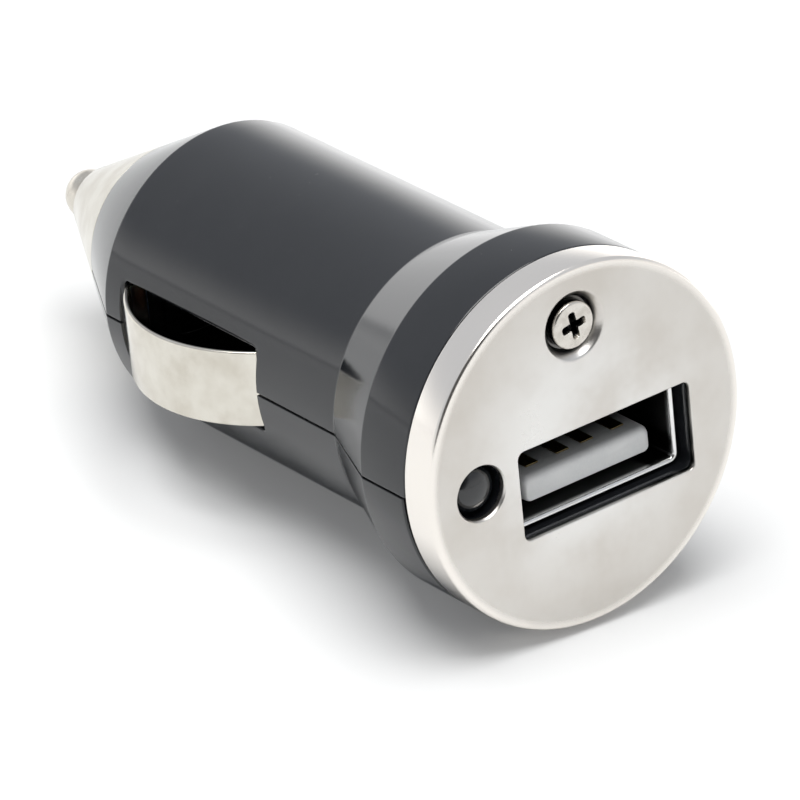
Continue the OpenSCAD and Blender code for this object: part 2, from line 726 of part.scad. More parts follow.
module positive_lead() color("#b9352c") from_face()
  wire([[0, rivet_end - touch, 0], [0, board_end + lead_r, 0],
    [0, board_end + lead_r, board_top + solder_stub], [0, board_end - lead_foot, board_top + solder_stub],
    [0, board_end - lead_foot, board_top + touch]], lead_r);

// Tab that meets the clip's front tail and is soldered to the board beside the step
module ground_tab(s) color("#c5c7c9") from_face()
  translate([s * (board_front_w / 2 - tab_w / 2 - 0.1) - tab_w / 2, 0, 0]) {
    block([0, tail_from - 0.1 - tab_t, -1.6], [tab_w, tail_from - 0.1, board_top + tab_t + touch]);
    block([0, tail_from - 2.4, board_top + touch], [tab_w, tail_from - 0.1, board_top + tab_t + touch]);
  }
module left_ground_tab() ground_tab(-1);
module right_ground_tab() ground_tab(1);

upper_shell();
lower_shell();
face_cap();
face_screw();
nose_cap();
contact_pin();
contact_spring();
spring_seat();
left_clip();
right_clip();
socket_shell();
socket_tongue();
socket_contacts();
circuit_board();
indicator_lamp();
lamp_leads();
drum_core();
drum_winding();
input_capacitor();
output_capacitor();
regulator_chip();
regulator_leads();
catch_diode();
chip_resistors();
chip_capacitors();
positive_lead();
left_ground_tab();
right_ground_tab();
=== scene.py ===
# %% [markdown]
# # A plug-in charger for a car's 12 V socket
# The plug comes as a set of exact solids, one for each real piece. This lesson gives every piece its
# looks: the pieces that the eye meets are made again with soft edges and lips, and each finish is
# mixed from noise and simple maths. All of it stays in the frame of the solids, so nothing is fitted
# by eye.

# %% Load the solids
import json
import math
import bmesh
import bpy
from mathutils import Matrix, Vector


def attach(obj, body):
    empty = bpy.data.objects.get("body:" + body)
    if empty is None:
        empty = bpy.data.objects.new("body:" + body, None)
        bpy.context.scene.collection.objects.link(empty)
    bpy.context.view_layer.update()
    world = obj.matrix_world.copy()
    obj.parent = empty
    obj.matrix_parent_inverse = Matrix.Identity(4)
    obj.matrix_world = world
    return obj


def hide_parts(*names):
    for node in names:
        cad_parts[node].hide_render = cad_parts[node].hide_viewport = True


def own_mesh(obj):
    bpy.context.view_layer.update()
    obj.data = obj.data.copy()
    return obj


MM, MICRON = 1e-3, 1e-6


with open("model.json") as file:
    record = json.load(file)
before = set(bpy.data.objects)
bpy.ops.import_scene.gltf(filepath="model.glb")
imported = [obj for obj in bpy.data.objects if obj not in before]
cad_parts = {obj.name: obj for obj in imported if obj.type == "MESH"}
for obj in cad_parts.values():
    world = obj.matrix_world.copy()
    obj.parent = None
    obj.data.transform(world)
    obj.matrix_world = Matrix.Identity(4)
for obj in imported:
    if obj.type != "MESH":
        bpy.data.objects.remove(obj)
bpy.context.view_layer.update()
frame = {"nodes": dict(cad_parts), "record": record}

# %% [markdown]
# ## Sizes that several pieces share
# A plug like this is drawn by depth: how far a feature lies behind the metal face. Radii are taken
# from the axis. All pieces are made in millimetres and are brought to metres, and from depth to the
# frame's own Y, at the very end. That keeps the numbers readable.

# %% Shared sizes, in millimetres
ORIGIN_DEPTH = 13.2
HEAD_R = 12.5
CAP_SHEET = 0.5
CAP_END = 2.6
FLANGE_END = 7.2
BARREL_R = 10.2
BARREL_END = 38.8
NOSE_SEAM = 45.4
NOSE_END = 53.9
MOUTH_R = 2.45
NOSE_SLOPE = (BARREL_R - MOUTH_R) / (NOSE_END - BARREL_END)
NECK_R = 4.2
NECK_END = 48.5
WALL = 1.3
FRONT_END = 2.0
CLIP_MIDDLE = 29.4
PIN_R = 1.8
COLLAR_START = 50.38
SLACK = 0.06
# Places on the face are (right, up) from the axis; the window's size is (width, height, corner).
WINDOW = (1.55, -1.75)
WINDOW_SIZE = (13.9, 6.3, 0.5)
LAMP = (-8.45, -0.2)
SCREW = (-0.1, 8.5)


def nose_r(depth):
    """Radius of the taper that the shells' shoulder and the nose cap share."""
    return BARREL_R - NOSE_SLOPE * (depth - BARREL_END)


print("radius at the nose seam:", round(nose_r(NOSE_SEAM), 2), "mm")

# %% [markdown]
# ## A way to write shader and geometry nodes
# A node tree is a formula with boxes for its parts. A formula is easier to read as a formula, so a
# small class stands for a socket and knows plus, minus and times, also with a plain number in front.
# One method, node, makes any other node from its type, its settings and its inputs.

# %% Sockets that can be reckoned with
class Socket:
    """One output of a node; an expression with it adds the Math nodes that it needs."""

    def __init__(self, graph, link):
        self.graph = graph
        self.link = link

    def beside(self, name):
        """Another output of the same node."""
        return Socket(self.graph, self.link.node.outputs[name])

    def reckon(self, operation, first, second):
        return self.graph.node("ShaderNodeMath", {"operation": operation}, {0: first, 1: second})

    def __add__(self, other):
        return self.reckon("ADD", self, other)

    def __radd__(self, other):
        return self.reckon("ADD", other, self)

    def __sub__(self, other):
        return self.reckon("SUBTRACT", self, other)

    def __rsub__(self, other):
        return self.reckon("SUBTRACT", other, self)

    def __mul__(self, other):
        return self.reckon("MULTIPLY", self, other)

    def __rmul__(self, other):
        return self.reckon("MULTIPLY", other, self)


# %% One method for every other node
class Graph:
    """A node tree that is being written."""

    def __init__(self, tree):
        self.tree = tree

    def set(self, socket, value):
        if isinstance(value, Socket):
            self.tree.links.new(value.link, socket)
        else:
            socket.default_value = value

    def node(self, kind, settings=None, inputs=None, output=0):
        """Adds a node, its settings first and then its inputs, and gives one of its outputs."""
        node = self.tree.nodes.new(kind)
        for name, value in (settings or {}).items():
            setattr(node, name, value)
        for name, value in (inputs or {}).items():
            self.set(node.inputs[name], value)
        return Socket(self, node.outputs[output])


print("socket and graph are ready")

# %% [markdown]
# ## What most finishes are made of
# Few real surfaces have one colour and one gloss. Here every finish starts from the place on the
# object in millimetres, asks a noise texture for patches or grain at a known size, and feeds small
# changes of colour, roughness and height. The Bevel node softens the look of edges that are too
# small to be worth faces of their own.

# %% Building blocks of a finish
def new_finish(name, **constants):
    """Material, its graph and its shader; constants are set on the shader itself."""
    material = bpy.data.materials.new(name)
    material.use_nodes = True
    shader = material.node_tree.nodes["Principled BSDF"]
    for key, value in constants.items():
        shader.inputs[key.replace("_", " ")].default_value = value
    return material, Graph(material.node_tree), shader


def place_mm(graph):
    """Place on the object, in millimetres."""
    place = graph.node("ShaderNodeTexCoord", output="Object")
    return graph.node("ShaderNodeVectorMath", {"operation": "SCALE"}, {0: place, "Scale": 1 / MM})


def stretched(graph, place, factors):
    """The same place, with each direction scaled on its own."""
    return graph.node("ShaderNodeVectorMath", {"operation": "MULTIPLY"}, {0: place, 1: factors})


def parts_of(graph, place):
    """The three numbers of a place."""
    split = graph.node("ShaderNodeSeparateXYZ", inputs={0: place})
    return [split.beside(axis) for axis in "XYZ"]


def noise(graph, place, size, detail, rough=0.55):
    """Noise from 0 to 1 with features about size millimetres across."""
    return graph.node("ShaderNodeTexNoise", inputs={
        "Vector": place, "Scale": 1 / size, "Detail": detail, "Roughness": rough})


def between(graph, value, low, high):
    """0 below low, 1 above high, soft in between."""
    return graph.node("ShaderNodeMapRange", {"interpolation_type": "SMOOTHSTEP"},
                      {0: value, "From Min": low, "From Max": high})


def mixed(graph, share, first, second):
    """Colour between two colours, each a link or red, green and blue."""
    first, second = [c if isinstance(c, Socket) else (*c, 1) for c in (first, second)]
    return graph.node("ShaderNodeMix", {"data_type": "RGBA"}, {0: share, 6: first, 7: second}, output=2)


def soft_normal(graph, radius_mm, height, depth_um):
    """Normal with softened edges, and a bump of the given depth over it."""
    normal = graph.node("ShaderNodeBevel", {"samples": 6}, {"Radius": radius_mm * MM})
    return graph.node("ShaderNodeBump", inputs={
        "Strength": 1.0, "Distance": depth_um * MICRON, "Height": height, "Normal": normal})


def feed(graph, shader, colour, roughness, normal):
    """Joins what changes over a surface to its shader."""
    for name, value in (("Base Color", colour), ("Roughness", roughness), ("Normal", normal)):
        graph.set(shader.inputs[name], value)


FINISHES = {}
print("building blocks are ready")

# %% [markdown]
# ## Black moulded plastic
# The two half shells are one glossy black moulding each. Their gloss is not that of glass: the
# tool's polish leaves a fine waviness, and handling leaves faint dull patches and a little dust.
# A flat black would look cut out of paper, so the roughness carries most of the variation.

# %% Black plastic
def black_plastic():
    material, graph, shader = new_finish("black_plastic", IOR=1.55)
    place = place_mm(graph)
    patches = noise(graph, place, size=6.0, detail=4.0)
    grain = noise(graph, place, size=0.12, detail=2.0)
    specks = noise(graph, place, size=0.22, detail=1.0)
    dust = between(graph, specks, 0.78, 0.84) * between(graph, patches, 0.45, 0.6)
    black = mixed(graph, patches, (0.011, 0.0125, 0.0155), (0.019, 0.0205, 0.0235))
    colour = mixed(graph, dust * 0.35, black, (0.3, 0.3, 0.29))
    gloss = 0.05 + patches * 0.06 + grain * 0.02 + dust * 0.3
    height = grain * 0.5 + noise(graph, place, size=2.4, detail=2.0) * 2.0
    feed(graph, shader, colour, gloss, soft_normal(graph, 0.1, height, 2.2))
    return material


FINISHES["black_plastic"] = black_plastic()
print("black plastic has", len(FINISHES["black_plastic"].node_tree.nodes), "nodes")

# %% [markdown]
# ## Plated metals
# The face cap is satin nickel: blasted, then plated, so it has a fine even grain and a broad sheen.
# The nose cap and the clips are bright nickel with a warm tone. The screw, the pin and the small
# sheet parts are plainer. All are the same idea with other numbers: a metal whose roughness rises
# in handling patches, with fine scratches, grain and a slightly duller tone in the patches.

# %% A plated metal
# METAL_SHADE is the near black of painted shade in the metals' recesses.
POLISHED, METAL_SHADE = (0.86, 0.82, 0.77), (0.02, 0.02, 0.02)
HAIR_MM, HAIR_STRETCH = 0.9, (0.6, 9.0, 9.0)


def plated(name, colour, dull, rough, grain_mm, grain_um, patch_mm, patch=0.08, scratches=0.05,
           lines=(1, 1, 1), edge_mm=0.06, recess=None):
    """Metal with grain, scratches and duller patches; recess gives masks of its special places, painted
    shade among them.
    """
    material, graph, shader = new_finish(name, Metallic=1.0)
    place = place_mm(graph)
    patches = noise(graph, place, patch_mm, detail=4.0)
    grain = noise(graph, stretched(graph, place, lines), grain_mm, detail=2.0)
    hair = noise(graph, stretched(graph, place, HAIR_STRETCH), HAIR_MM, detail=2.0, rough=0.7)
    scratch = between(graph, hair, 0.68, 0.78) * between(graph, patches, 0.4, 0.62)
    tone = mixed(graph, between(graph, patches, 0.35, 0.75) * 0.8, colour, dull)
    gloss = rough + (patches - 0.5) * (2 * patch) + (grain - 0.5) * 0.06 + scratch * scratches
    masks = recess(graph, place) if recess else {}
    if "warm" in masks:
        tone = mixed(graph, masks["warm"], tone, dull)
    if "polish" in masks:
        tone = mixed(graph, masks["polish"], tone, POLISHED)
        gloss = gloss - masks["polish"] * 0.12
    # Painted shade: the colour goes to near black where a recess mask says that shade falls.
    if "painted_shade" in masks:
        tone = mixed(graph, masks["painted_shade"], tone, METAL_SHADE)
    feed(graph, shader, tone, gloss, soft_normal(graph, edge_mm, grain + scratch * 0.8, grain_um))
    return material


print("scratches are about", HAIR_MM / HAIR_STRETCH[0], "mm long and", HAIR_MM / HAIR_STRETCH[1], "mm wide")

# %% Special places of the metals
def off_axis(graph, place, centre=(0, 0)):
    """Distance from a line along the depth."""
    x, y, z = parts_of(graph, place)
    x, z = x - centre[0], z - centre[1]
    return graph.node("ShaderNodeMath", {"operation": "SQRT"}, {0: x * x + z * z})


def depth_of(graph, place):
    """Depth behind the metal face."""
    return parts_of(graph, place)[1] + ORIGIN_DEPTH


def cap_recess(graph, place):
    """Painted shade in the punched window and the dimple; polished at the rim, warmer towards it."""
    radius = off_axis(graph, place)
    in_dimple = between(graph, 3.5 - off_axis(graph, place, SCREW), 0.0, 0.5)
    # Painted shade: deeper than the plate, in the window's punched edges and the dimple, but not on the rim
    # or at the lamp hole.
    painted_shade = between(graph, depth_of(graph, place) - (0.12 + 0.3 * in_dimple), 0.0, 0.2)
    painted_shade = painted_shade * (1 - between(graph, radius, 11.4, 11.6)) * (1 - in_dimple * 0.2)
    painted_shade = painted_shade * between(graph, off_axis(graph, place, LAMP), 2.1, 2.3)
    return {"painted_shade": painted_shade, "polish": between(graph, radius, 11.7, 12.3),
            "warm": between(graph, radius, 4.0, 11.0) * 0.55}


def screw_recess(graph, place):
    """Painted shade in the cross and down the side of the head."""
    return {"painted_shade": between(graph, depth_of(graph, place), 0.15, 0.35)}


def can_recess(graph, place):
    """Painted shade behind the bright lip of the socket's sheet."""
    return {"painted_shade": between(graph, depth_of(graph, place), 1.52, 1.9) * 0.93}


print("recesses of the metals can be drawn")

# %% The plated metals
METALS = {
    "satin_cap": dict(colour=(0.75, 0.74, 0.72), dull=(0.55, 0.515, 0.47), rough=0.3, grain_mm=0.09,
                      grain_um=1.6, patch_mm=7.0, patch=0.05, recess=cap_recess),
    "nickel": dict(colour=(0.7, 0.675, 0.61), dull=(0.52, 0.48, 0.41), rough=0.17, grain_mm=0.3,
                   grain_um=1.0, patch_mm=3.0, patch=0.05),
    "screw_steel": dict(colour=(0.7, 0.67, 0.62), dull=(0.52, 0.49, 0.44), rough=0.26, grain_mm=0.12,
                        grain_um=1.4, patch_mm=0.9, patch=0.1, scratches=0.2, edge_mm=0.05,
                        recess=screw_recess),
    "pin_metal": dict(colour=(0.68, 0.645, 0.58), dull=(0.48, 0.445, 0.39), rough=0.28, grain_mm=0.1,
                      grain_um=1.5, patch_mm=1.2, patch=0.12, lines=(1, 8, 1)),
    "spring_steel": dict(colour=(0.6, 0.6, 0.6), dull=(0.45, 0.45, 0.46), rough=0.28, grain_mm=0.08,
                         grain_um=0.8, patch_mm=1.0),
    "brass_parts": dict(colour=(0.76, 0.59, 0.28), dull=(0.6, 0.43, 0.2), rough=0.27, grain_mm=0.1,
                        grain_um=1.0, patch_mm=1.0),
    "socket_steel": dict(colour=(0.8, 0.8, 0.8), dull=(0.7, 0.69, 0.67), rough=0.24, grain_mm=0.14,
                         grain_um=1.2, patch_mm=2.0, lines=(1, 0.2, 1), recess=can_recess),
    # gold_contacts is a dull gold, darkened further as painted shade: the contacts lie deep in the socket.
    "gold_contacts": dict(colour=(0.36, 0.28, 0.14), dull=(0.22, 0.17, 0.08), rough=0.3, grain_mm=0.1,
                          grain_um=0.7, patch_mm=0.8, lines=(1, 0.15, 1)),
    "tinned_metal": dict(colour=(0.74, 0.75, 0.76), dull=(0.58, 0.59, 0.6), rough=0.34, grain_mm=0.25,
                         grain_um=2.5, patch_mm=0.8, patch=0.1),
    "copper_wire": dict(colour=(0.1, 0.045, 0.028), dull=(0.06, 0.028, 0.02), rough=0.24, grain_mm=0.2,
                        grain_um=0.8, patch_mm=1.0),
}
for name, recipe in METALS.items():
    FINISHES[name] = plated(name, **recipe)
print("plated metals:", len(METALS))

# %% [markdown]
# ## Plastics, resins and the board
# Inside are moulded and pressed parts. The same building blocks serve for all of them, with a
# second tone in patches and a grain: pale insulator, ferrite, chip resin, tan ceramic, red wire
# cover and the dark clear lens of the lamp. The board adds tracks: the paler lines where copper
# lies under the green mask, drawn with a stepped wave along both directions.

# %% A plain moulded or pressed material
PLASTIC_SHADE = (0.03, 0.03, 0.03)
EDGE_MM = 0.05


def moulded(name, colour, second, rough, grain_mm, grain_um, patch_mm=2.0, recess=None, **constants):
    """Material of two close tones with a grain; recess gives the mask of its shaded place."""
    material, graph, shader = new_finish(name, **constants)
    place = place_mm(graph)
    patches = noise(graph, place, patch_mm, detail=4.0)
    grain = noise(graph, place, grain_mm, detail=2.0)
    tone = mixed(graph, between(graph, patches * 0.6 + grain * 0.4, 0.35, 0.65), colour, second)
    if recess:
        tone = mixed(graph, recess(graph, place), tone, PLASTIC_SHADE)
    gloss = rough + (patches - 0.5) * 0.14 + (grain - 0.5) * 0.1
    feed(graph, shader, tone, gloss, soft_normal(graph, EDGE_MM, grain, grain_um))
    return material


def tongue_recess(graph, place):
    """The tongue falls into shade behind its tip."""
    return between(graph, depth_of(graph, place), 2.5, 5.5) * 0.85


PLASTICS = {
    "white_plastic": dict(colour=(0.88, 0.89, 0.89), second=(0.93, 0.935, 0.93), rough=0.35,
                          grain_mm=0.15, grain_um=1.5, recess=tongue_recess),
    "ferrite": dict(colour=(0.07, 0.07, 0.075), second=(0.12, 0.12, 0.125), rough=0.55,
                    grain_mm=0.07, grain_um=5.0, patch_mm=0.8),
    "chip_resin": dict(colour=(0.022, 0.022, 0.024), second=(0.04, 0.04, 0.042), rough=0.5,
                       grain_mm=0.06, grain_um=4.0, patch_mm=0.8),
    "tan_ceramic": dict(colour=(0.46, 0.34, 0.21), second=(0.58, 0.46, 0.3), rough=0.45,
                        grain_mm=0.06, grain_um=3.0, patch_mm=0.5),
    "red_wire": dict(colour=(0.5, 0.03, 0.025), second=(0.38, 0.02, 0.02), rough=0.35,
                     grain_mm=0.3, grain_um=1.5, patch_mm=1.0),
    "smoky_lens": dict(colour=(0.01, 0.011, 0.013), second=(0.018, 0.02, 0.022), rough=0.16,
                       grain_mm=0.5, grain_um=0.6, patch_mm=1.5,
                       IOR=1.54, Coat_Weight=0.3, Coat_Roughness=0.05),
    "sleeved_can": dict(colour=(0.03, 0.05, 0.1), second=(0.045, 0.075, 0.14), rough=0.3,
                        grain_mm=0.4, grain_um=3.0, patch_mm=3.0, Coat_Weight=0.3),
}
for name, recipe in PLASTICS.items():
    FINISHES[name] = moulded(name, **recipe)
print("moulded and pressed materials:", len(PLASTICS))

# %% The board's green mask
def to_and_fro(value, reach):
    """The value folded up and down between 0 and reach."""
    return value.reckon("PINGPONG", value, reach)


def green_board():
    material, graph, shader = new_finish("green_board", IOR=1.5)
    place = place_mm(graph)
    x, y, z = parts_of(graph, place)
    bend = noise(graph, place, size=5.0, detail=0.0)
    along = between(graph, to_and_fro(x + bend * 2.0, 0.9), 0.5, 0.56)
    across = between(graph, to_and_fro(y + bend * 3.0, 1.6), 1.1, 1.16)
    pick = between(graph, noise(graph, place, size=3.5, detail=0.0), 0.48, 0.52)
    tracks = along * pick + across * (1 - pick)
    weave = noise(graph, place, size=0.25, detail=1.0)
    mask = mixed(graph, weave, (0.018, 0.11, 0.05), (0.03, 0.15, 0.07))
    colour = mixed(graph, tracks * 0.75, mask, (0.07, 0.27, 0.11))
    feed(graph, shader, colour, 0.3 + weave * 0.12,
         soft_normal(graph, EDGE_MM, tracks * 3.0 + weave, 12.0))
    return material


FINISHES["green_board"] = green_board()
print("finishes:", ", ".join(sorted(FINISHES)))

# %% [markdown]
# ## Tools of the workshop
# Most pieces are turned: an outline swept round an axis, as on a lathe or in a round mould. Others
# are lofted between loops, as a punched hole is whose edge is drawn in. What is cut out is a body of
# its own that is taken away with a Boolean. Corners of an outline are rounded before it is turned,
# which costs few faces and gives true fillets.

# %% Outlines
def rounded(corners, steps=5):
    """Line through (x, y, rounding) corners with an arc at each rounded one."""
    line = []
    for i, (x, y, radius) in enumerate(corners):
        corner = Vector((x, y))
        if not radius or i in (0, len(corners) - 1):
            line.append((x, y))
            continue
        back = (Vector(corners[i - 1][:2]) - corner).normalized()
        on = (Vector(corners[i + 1][:2]) - corner).normalized()
        half = back.angle(on) / 2
        centre = corner + (back + on).normalized() * radius / math.sin(half)
        start = corner + back * radius / math.tan(half) - centre
        finish = corner + on * radius / math.tan(half) - centre
        sweep = math.pi - 2 * half
        for k in range(steps + 1):
            one = math.sin(sweep * (1 - k / steps)) / math.sin(sweep)
            two = math.sin(sweep * k / steps) / math.sin(sweep)
            line.append(tuple(centre + start * one + finish * two))
    return line


def round_loop(width, height, radius, steps=6):
    """Points of a rectangle with round corners, centred."""
    loop = []
    for k in range(4):
        x = (width / 2 - radius) * (1, -1, -1, 1)[k]
        y = (height / 2 - radius) * (1, 1, -1, -1)[k]
        for i in range(steps + 1):
            a = math.pi / 2 * k + math.pi / 2 * i / steps
            loop.append((x + radius * math.cos(a), y + radius * math.sin(a)))
    return loop


def quarter(steps):
    """(way, aside) shares along a quarter round: way grows from 0 to 1 as aside falls from 1 to 0."""
    turns = [math.pi / 2 * i / steps for i in range(steps + 1)]
    return [(1 - math.cos(a), 1 - math.sin(a)) for a in turns]


def lip(start, size, steps):
    """(depth, growth) pairs of a rounded lip; a size below 0 rounds it inwards."""
    return [(start + abs(size) * way, size * aside) for way, aside in quarter(steps)]


print("a rectangle with round corners has", len(round_loop(2, 1, 0.2)), "points")

# %% Bodies
def faced_out(mesh, merge=0.0):
    """Turns the faces of a mesh outwards, after points closer than merge are joined."""
    work = bmesh.new()
    work.from_mesh(mesh)
    if merge:
        bmesh.ops.remove_doubles(work, verts=work.verts, dist=merge)
    bmesh.ops.recalc_face_normals(work, faces=work.faces)
    work.to_mesh(mesh)
    work.free()


def blank(name, points, faces):
    """Closed mesh object in millimetres, with its faces turned outwards."""
    mesh = bpy.data.meshes.new(name)
    mesh.from_pydata(points, [], faces)
    faced_out(mesh)
    thing = bpy.data.objects.new(name, mesh)
    bpy.context.scene.collection.objects.link(thing)
    return thing


def turned(name, outline, steps=192, centre=(0, 0)):
    """Body turned about a line along the depth; the outline is (radius, depth) pairs."""
    points, rows = [], []
    for radius, depth in outline:
        count = steps if radius else 1
        rows.append([len(points) + k % count for k in range(steps)])
        for k in range(count):
            a = 2 * math.pi * k / steps
            points.append((centre[0] + radius * math.cos(a), depth, centre[1] + radius * math.sin(a)))
    if outline[0][0]:
        rows.append(rows[0])
    faces = []
    for here, there in zip(rows, rows[1:]):
        for k in range(steps):
            on = (k + 1) % steps
            corners = list(dict.fromkeys([here[k], here[on], there[on], there[k]]))
            if len(corners) > 2:
                faces.append(corners)
    return blank(name, points, faces)


def rod(name, radius, start, stop, centre, steps=64):
    """Round rod along the depth."""
    return turned(name, [(0, start), (radius, start), (radius, stop), (0, stop)], steps, centre)


def lofted(name, loops):
    """Body through loops of equally many points, closed at both ends."""
    count = len(loops[0])
    points = [point for loop in loops for point in loop]
    faces = [list(range(count)), list(range(len(points) - count, len(points)))]
    for i in range(len(loops) - 1):
        for k in range(count):
            on = (k + 1) % count
            faces.append([i * count + k, i * count + on, (i + 1) * count + on, (i + 1) * count + k])
    return blank(name, points, faces)


def block(name, low, high):
    """Box between two corners."""
    loop = [(low[0], low[2]), (high[0], low[2]), (high[0], high[2]), (low[0], high[2])]
    return lofted(name, [[(x, depth, z) for x, z in loop] for depth in (low[1], high[1])])


def grown_by(size, levels):
    """Sections of a (width, height, corner) size that grows by so much at each depth."""
    width, height, corner = size
    return [(width + 2 * grow, height + 2 * grow, corner + grow, depth) for depth, grow in levels]


def duct(name, sections):
    """Body along the depth at the window through (width, height, corner, depth) sections."""
    return lofted(name, [[(WINDOW[0] + x, depth, WINDOW[1] + z) for x, z in round_loop(w, h, corner)]
                         for w, h, corner, depth in sections])


# %% Joining, cutting and trimming
def worked(base, *steps):
    """Joins, cuts or trims the base with one tool after the other; the tools are used up."""
    for operation, tool in steps:
        step = base.modifiers.new("tool", "BOOLEAN")
        step.operation = operation
        step.solver = "MANIFOLD"
        step.object = tool
    seen = base.evaluated_get(bpy.context.evaluated_depsgraph_get())
    mesh = bpy.data.meshes.new_from_object(seen)
    base.modifiers.clear()
    base.data = mesh
    for operation, tool in steps:
        bpy.data.objects.remove(tool)
    return base


# %% [markdown]
# ## Handing a piece over
# Every finished piece goes through the same last steps: from millimetres and depth to the frame,
# smooth shading with sharp edges kept sharp, its finish, the body that it rides on, and the solids
# that it stands for.

# %% Finish a piece
TO_FRAME = Matrix.Scale(MM, 4) @ Matrix.Translation((0, -ORIGIN_DEPTH, 0))
SHARP_ANGLE = math.radians(32)
print("the metal face comes to Y =", round(TO_FRAME.translation.y / MM, 1), "mm")


def hand_over(piece, finish, body, *nodes):
    piece.data.transform(TO_FRAME)
    piece.data.shade_smooth()
    piece.data.set_sharp_from_angle(angle=SHARP_ANGLE)
    piece.data.materials.clear()
    piece.data.materials.append(FINISHES[finish])
    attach(piece, body)
    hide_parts(*nodes)
    piece.data.calc_loop_triangles()
    work = bmesh.new()
    work.from_mesh(piece.data)
    gaps = sum(not edge.is_manifold for edge in work.edges)
    work.free()
    print(piece.name, "has", len(piece.data.loop_triangles), "triangles and", gaps, "open edges")


# %% [markdown]
# ## The two half shells
# Flange, taper, barrel, shoulder and threaded neck are one moulding in each half, and the two halves
# meet in a plane through the axis. The outside is one turned body. The hollow is another, taken out
# of it. Then come the boss for the screw, ribs and pads, and at last the openings. The slots for the
# clips open in a round surface, so the tool that cuts them follows it: each loop lies at one radius,
# and the last loops grow outwards and leave a drawn-in edge.

# %% Outside and hollow
SHELL_STEPS = 256


def shell_outside(name, rim_gap):
    """Outside of a shell; the two rings beside the slots keep the shading of the barrel even."""
    rim, before_slot, after_slot = CAP_END + rim_gap, 21.5, 37.3
    return turned(name, rounded([
        (0, CAP_SHEET, 0), (11.9, CAP_SHEET, 0.1), (11.9, rim, 0), (HEAD_R, rim, 0.15),
        (HEAD_R, FLANGE_END, 0.4), (BARREL_R, ORIGIN_DEPTH, 0.5), (BARREL_R, before_slot, 0),
        (BARREL_R, after_slot, 0), (BARREL_R, BARREL_END, 0.4), (nose_r(NOSE_SEAM), NOSE_SEAM, 0.08),
        (NECK_R, NOSE_SEAM, 0), (NECK_R, NECK_END, 0.2), (0, NECK_END, 0)]), SHELL_STEPS)


def shell_hollow():
    """Room for the board, and behind it the bore for the spring."""
    room_end, wire_r, bore_start, bore_r = 43.4, 1.2, 44.4, 3.2
    head, barrel = HEAD_R - WALL, BARREL_R - WALL
    return turned("hollow", [
        (0, FRONT_END), (head, FRONT_END), (head, FLANGE_END - 0.3), (barrel, ORIGIN_DEPTH - 0.3),
        (barrel, BARREL_END - 0.3), (nose_r(room_end) - 1.461, room_end), (wire_r, room_end),
        (wire_r, bore_start), (bore_r, bore_start), (bore_r, NECK_END + 1), (0, NECK_END + 1)],
        SHELL_STEPS)


def wall_core():
    """What lies inside the middle of the shells' wall; inner features end in it."""
    return turned("core", [
        (0, 1.2), (11.6, 1.2), (11.85, FLANGE_END - 0.2), (9.55, ORIGIN_DEPTH), (9.55, BARREL_END - 0.2),
        (nose_r(44) - 0.7, 44), (0, 44)], 128)


print("wall:", WALL, "mm; nose taper:", round(math.degrees(math.atan(NOSE_SLOPE)), 1), "degrees a side")

# %% Openings in the shells
SLOT_W, SLOT_L, SLOT_CORNER = 6, 15, 0.4


def clip_slot(side):
    """Tool for one clip's slot, with a drawn-in edge that follows the round wall."""
    edge = 0.22
    levels = [(-4.0, 0)] + [(-edge * aside, edge * way) for way, aside in quarter(5)] + [(0.6, edge)]
    loops = []
    for out, grow in levels:
        radius = BARREL_R + out
        loops.append([(side * math.sqrt(radius ** 2 - z ** 2), CLIP_MIDDLE + y, z)
                      for z, y in round_loop(SLOT_W + 2 * grow, SLOT_L + 2 * grow, SLOT_CORNER + grow)])
    return lofted("slot", loops)


def seam_groove():
    """Fine groove on both sides of the seam."""
    deep, half_width = 0.3, 0.1
    end_r = nose_r(NOSE_SEAM) - deep
    slab = block("groove", (-13.5, CAP_END, -half_width), (13.5, NOSE_SEAM + 1, half_width))
    core = turned("groove core", [
        (0, 0), (HEAD_R - deep, 0), (HEAD_R - deep, FLANGE_END), (BARREL_R - deep, ORIGIN_DEPTH),
        (BARREL_R - deep, BARREL_END), (end_r, NOSE_SEAM), (end_r, NOSE_SEAM + 2), (0, NOSE_SEAM + 2)])
    return worked(slab, ("DIFFERENCE", core))


def shell_openings():
    """Cuts for the socket, the lamp, the screw's dimple, the clips and the seam."""
    tools = [
        duct("window", grown_by(WINDOW_SIZE, [(0, 0), (3, 0)])),
        duct("pocket", grown_by((13.3, 5.9, 0.6), [(1.9, 0), (14.4, 0)])),
        turned("lamp hole", [(0, 0), (1.95, 0), (1.95, 2.0), (1.56, 2.0), (1.56, 7.2), (0, 7.2)], 64, LAMP),
        turned("dimple", [(0, 0), (2.85, 0), (2.4, 1.42), (0.92, 1.42), (0.92, 7.8), (0, 7.8)], 64, SCREW),
        clip_slot(-1), clip_slot(1), seam_groove()]
    return [("DIFFERENCE", tool) for tool in tools]


print("each clip's slot is", SLOT_L, "x", SLOT_W, "mm")

# %% What stands inside each half
PADS = [(x, start) for x in (-4.8, 4.8) for start in (19.85, 39.55)]
BOSS_END = 8.4


def inner_works(parts, pad_z, fin_z):
    """The given parts joined with the board's pads and the fins, all up to the wall."""
    for x, start in PADS:
        parts.append(block("pad", (x - 0.8, start, pad_z[0]), (x + 0.8, start + 1.2, pad_z[1])))
    for low, high in ((-11, -5.82), (5.82, 11)):
        parts.append(block("fin", (low, 38.7, fin_z[0]), (high, 39.4, fin_z[1])))
    first, *others = parts
    return worked(first, *[("UNION", part) for part in others], ("INTERSECT", wall_core()))


def lamp_ring():
    """Ring that holds the lamp; half of it stands in each shell."""
    return rod("lamp ring", 2.3, 1.5, 6.0, LAMP)


def half_shell(name, rim_gap, works, space):
    """One half: outside, hollow and inner works, trimmed to its space and opened."""
    return worked(shell_outside(name, rim_gap), ("DIFFERENCE", shell_hollow()), ("UNION", works),
                  ("INTERSECT", space), *shell_openings())


print("pads for the board in each half:", len(PADS))

